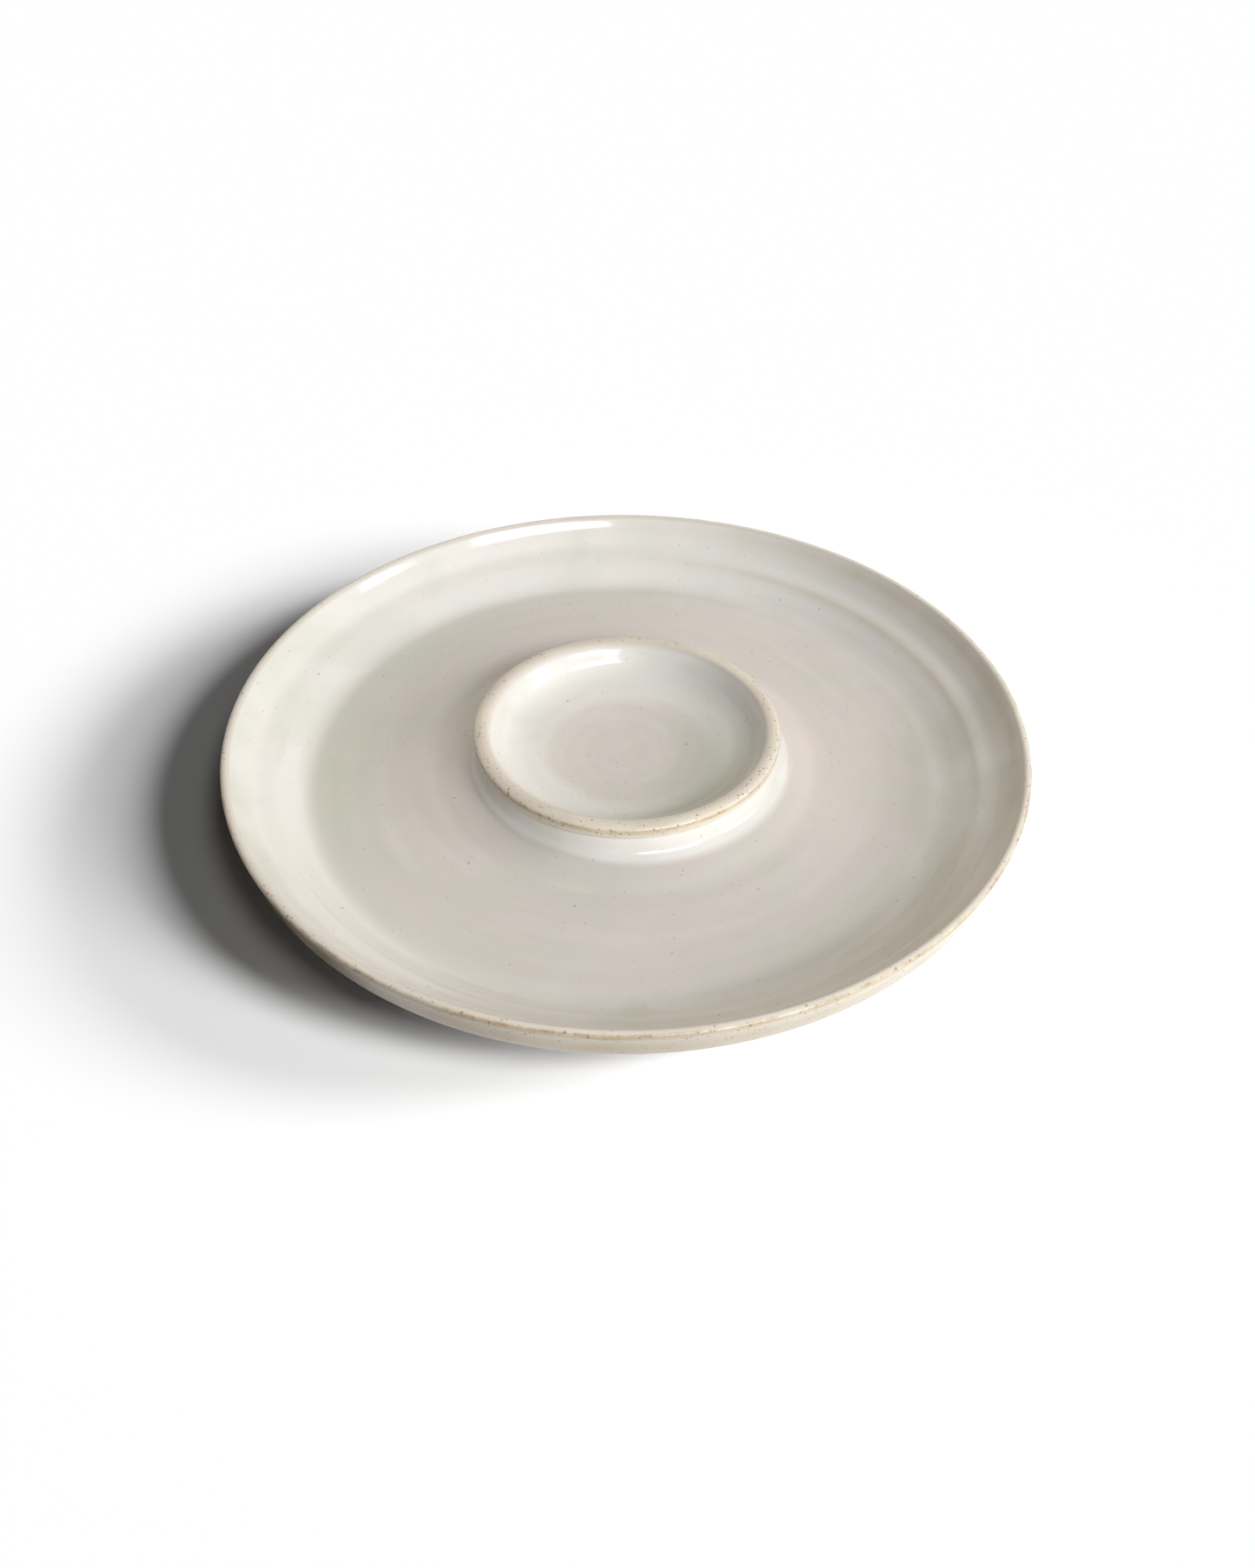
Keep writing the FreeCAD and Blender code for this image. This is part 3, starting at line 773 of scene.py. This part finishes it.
class RecessCoat(bpy.types.Operator):
    """Makes the coat of glaze on the underside within the foot ring, with the rings of the turning tool"""
    bl_idname = "server.recess_coat"
    bl_label = "Recess coat"

    def execute(self, context):
        shape, finish, _ = settings(context)
        hand = context.scene.server_hand
        radii = np.linspace(0, shape.foot_inner, RECESS_ROWS)[:, None]
        inwards = np.linspace(shape.foot_inner, 0, FLAT_ROWS)[:, None]
        shown = stretch(radii, 0, RECESS_FADE[0], shape.foot_inner - RECESS_FADE[1], shape.foot_inner)
        rings = shown * np.sin(2 * math.pi * radii / hand.bowl_ring_spacing - TURN)
        rows = np.concatenate([turned(radii, shape.underside + hand.ring_height * (1 + rings) / 2),
                               turned(inwards, shape.underside + shape.glaze)])
        arc = np.concatenate([radii, inwards])
        flat = np.zeros((len(rows), TURNS))
        wheel = np.stack(np.broadcast_arrays(np.cos(TURN), np.sin(TURN), arc / DECIMETRE), 2)
        piece("recess_coat", "foot_recess_glaze", rows, cream_glaze(finish), False,
              layers={"depth": flat, "pool": flat, "edge": flat, "wash_and_shade": flat, "wheel": wheel})
        return {"FINISHED"}


# ---------------------------------------------------------------- the stage
TABLE_REACH = 3.0            # metres from the middle to the table's edges
TABLE_SEEN, TABLE_THROWN = "#F2F2F2", "#888888"  # its colour to the eye, and for the light that it throws back
CAMERA_AIM = (0.5 * MM, 0, -1.6 * MM)    # the point that the camera looks at
CAMERA_SHIFT = -0.5 * MM     # how far the camera stands to the right of straight in front of that point
CAMERA_NEAR = 10 * MM        # what is nearer isn't seen


def place_lamp(name, kind, azimuth, elevation, distance, receivers, **looks):
    """A lamp that faces the middle of the table from azimuth and elevation, in degrees, and lights receivers."""
    azimuth, elevation = math.radians(azimuth), math.radians(elevation)
    data = bpy.data.lights.new(name, kind)
    for field, value in looks.items():
        setattr(data, field, value)
    lamp = bpy.data.objects.new(name, data)
    towards = Vector((math.cos(azimuth) * math.cos(elevation), math.sin(azimuth) * math.cos(elevation),
                      math.sin(elevation)))
    facing = towards.to_track_quat("Z", "Y").to_matrix().to_4x4()
    lamp.matrix_world = Matrix.Translation(towards * distance) @ facing
    bpy.context.scene.collection.objects.link(lamp)
    lamp.light_linking.receiver_collection = receivers
    return lamp


def group_of(name, members):
    """A collection that names what a lamp lights."""
    group = bpy.data.collections.new(name)
    for member in members:
        group.objects.link(member)
    return group


def seen_white(tree):
    """1 for the eye, in reflections and through glass, and 0 for light that is thrown from piece to piece."""
    ray = add(tree, "LightPath").outputs
    either = add(tree, "Math", {0: ray["Is Camera Ray"], 1: ray["Is Glossy Ray"]}, operation="MAXIMUM")
    return add(tree, "Math", {0: either, 1: ray["Is Transmission Ray"]}, operation="MAXIMUM")


def table_top():
    """A level table under the foot.  It looks white, and throws less light back than it seems to."""
    reach = TABLE_REACH
    mesh = bpy.data.meshes.new("table")
    mesh.from_pydata([(-reach, -reach, 0), (reach, -reach, 0), (reach, reach, 0), (-reach, reach, 0)], [],
                     [(0, 1, 2, 3)])
    table = bpy.data.objects.new("table", mesh)
    bpy.context.scene.collection.objects.link(table)
    material, tree, _ = new_material("white table, painted matt")
    shade = add(tree, "Mix", {FACTOR: seen_white(tree), A: linear(TABLE_THROWN), B: linear(TABLE_SEEN)},
                data_type="RGBA").outputs[MIXED]
    add(tree, "OutputMaterial", {0: add(tree, "BsdfDiffuse", {"Color": shade})})
    mesh.materials.append(material)
    return table


def white_room(studio):
    """World: plain white to the eye, in reflections and through glass, and a dim light for everything else."""
    world = bpy.data.worlds.new("white room")
    bpy.context.scene.world = world
    world.use_nodes = True
    tree = world.node_tree
    tree.nodes.clear()
    dim = add(tree, "Background", {"Color": WHITE, "Strength": studio.ambient})
    white = add(tree, "Background", {"Color": WHITE, "Strength": 1.0})
    add(tree, "OutputWorld",
        {0: add(tree, "MixShader", {0: seen_white(tree), 1: dim, 2: white})})


def camera(studio):
    """Camera that looks down at the server from the front."""
    data = bpy.data.cameras.new("camera")
    data.lens = studio.camera_lens
    data.clip_start = CAMERA_NEAR
    eye = bpy.data.objects.new("camera", data)
    back = Vector((0, -math.cos(studio.camera_elevation), math.sin(studio.camera_elevation)))
    towards = (back + Vector((CAMERA_SHIFT / studio.camera_distance, 0, 0))).normalized()
    rolled = Matrix.Rotation(studio.camera_roll, 4, "Z")
    eye.matrix_world = (Matrix.Translation(Vector(CAMERA_AIM) + towards * studio.camera_distance)
                        @ towards.to_track_quat("Z", "Y").to_matrix().to_4x4() @ rolled)
    bpy.context.scene.collection.objects.link(eye)
    bpy.context.scene.camera = eye


# Lights that only the server gets: name, azimuth and elevation in degrees, distance, width and height in metres,
# how bright it makes a white card that faces it, tint, and whether the glaze mirrors it.  They are a wide window in
# front, a small one on the right, and the soft light that a room with pale walls throws back.
LAMPS = (
    ("front window", -60, 36, 1.2, 0.76, 0.23, 0.65, "#F8F9FF", True),
    ("side window", -9, 25, 1.1, 0.35, 0.20, 0.20, "#EEF2FF", True),
    ("room on the right", -35, 15, 1.0, 0.9, 0.4, 0.75, "#FFFBF2", False),
    ("ceiling", 95, 55, 1.3, 1.3, 1.1, 0.50, "#FFF8EE", False),
    ("room behind", 95, 20, 1.3, 1.0, 0.6, 0.20, "#FFE6C0", False),
)

# Lights that only the table gets, from the right and the front, so that its soft shadow falls to the left: name,
# azimuth, elevation and spread in degrees, and share of the light on the open table.  The shares add up to 1.
TABLE_LIGHTS = (
    ("high front table light", -25, 36, 14, 0.38),
    ("low front table light", -25, 22, 14, 0.27),
    ("side table light", 0, 22, 14, 0.27),
    ("steep table light", -50, 52, 14, 0.08),
)


class Stage(bpy.types.Operator):
    """Makes the white table, the soft lamps, the white room and the camera"""
    bl_idname = "server.stage"
    bl_label = "Stage"

    def execute(self, context):
        studio = context.scene.server_studio
        pieces = group_of("server pieces", [thing for thing in context.scene.objects if thing.type == "MESH"])
        table = table_top()
        tables = group_of("table only", [table])
        white_room(studio)
        for name, azimuth, elevation, distance, width, height, card, tint, mirrored in LAMPS:
            light = studio.windows if mirrored else studio.room
            watts = light * card * (math.pi * distance) ** 2     # what makes a white card that bright from there
            lamp = place_lamp(name, "AREA", azimuth, elevation, distance, pieces, shape="RECTANGLE", size=width,
                              size_y=height, color=linear(tint)[:3], energy=watts)
            lamp.visible_glossy = mirrored
        for name, azimuth, elevation, spread, share in TABLE_LIGHTS:
            slant = math.sin(math.radians(elevation))            # a low sun lights a level table less
            place_lamp(name, "SUN", azimuth, elevation, 1.0, tables, energy=studio.table_light * share / slant,
                       angle=math.radians(spread))
        camera(studio)
        context.scene.view_settings.view_transform = "Standard"
        return {"FINISHED"}


# ---------------------------------------------------------------- add-on
class ServerPanel(bpy.types.Panel):
    """Lists the steps that build the server"""
    bl_idname = "SERVER_PT_steps"
    bl_label = "Chip and dip server"
    bl_space_type = "VIEW_3D"
    bl_region_type = "UI"
    bl_category = "Server"

    def draw(self, context):
        for step in OPERATORS:
            self.layout.operator(step.bl_idname)
        for group in (context.scene.server_shape, context.scene.server_hand, context.scene.server_finish,
                      context.scene.server_studio):
            box = self.layout.box()
            for name in group.__annotations__:
                box.prop(group, name)


GROUPS = {"server_shape": ServerShape, "server_hand": ThrowersHand, "server_finish": GlazeFinish,
          "server_studio": Studio}
OPERATORS = (PlatterBody, FootRing, DipBowl, JoiningCollar, GlazeCoats, RecessCoat, Stage)


def register():
    """Registers the classes and puts the settings on the scene."""
    for made in (*GROUPS.values(), *OPERATORS, ServerPanel):
        bpy.utils.register_class(made)
    for name, group in GROUPS.items():
        setattr(bpy.types.Scene, name, PointerProperty(type=group))


def unregister():
    """Takes the settings and the classes away again."""
    for name in GROUPS:
        delattr(bpy.types.Scene, name)
    for made in (ServerPanel, *reversed(OPERATORS), *reversed(GROUPS.values())):
        bpy.utils.unregister_class(made)


def main():
    """Builds the pieces and the stage."""
    register()
    bpy.ops.server.platter_body()
    bpy.ops.server.foot_ring()
    bpy.ops.server.dip_bowl()
    bpy.ops.server.joining_collar()
    bpy.ops.server.glaze_coats()
    bpy.ops.server.recess_coat()
    bpy.ops.server.stage()


if __name__ == "__main__":
    main()
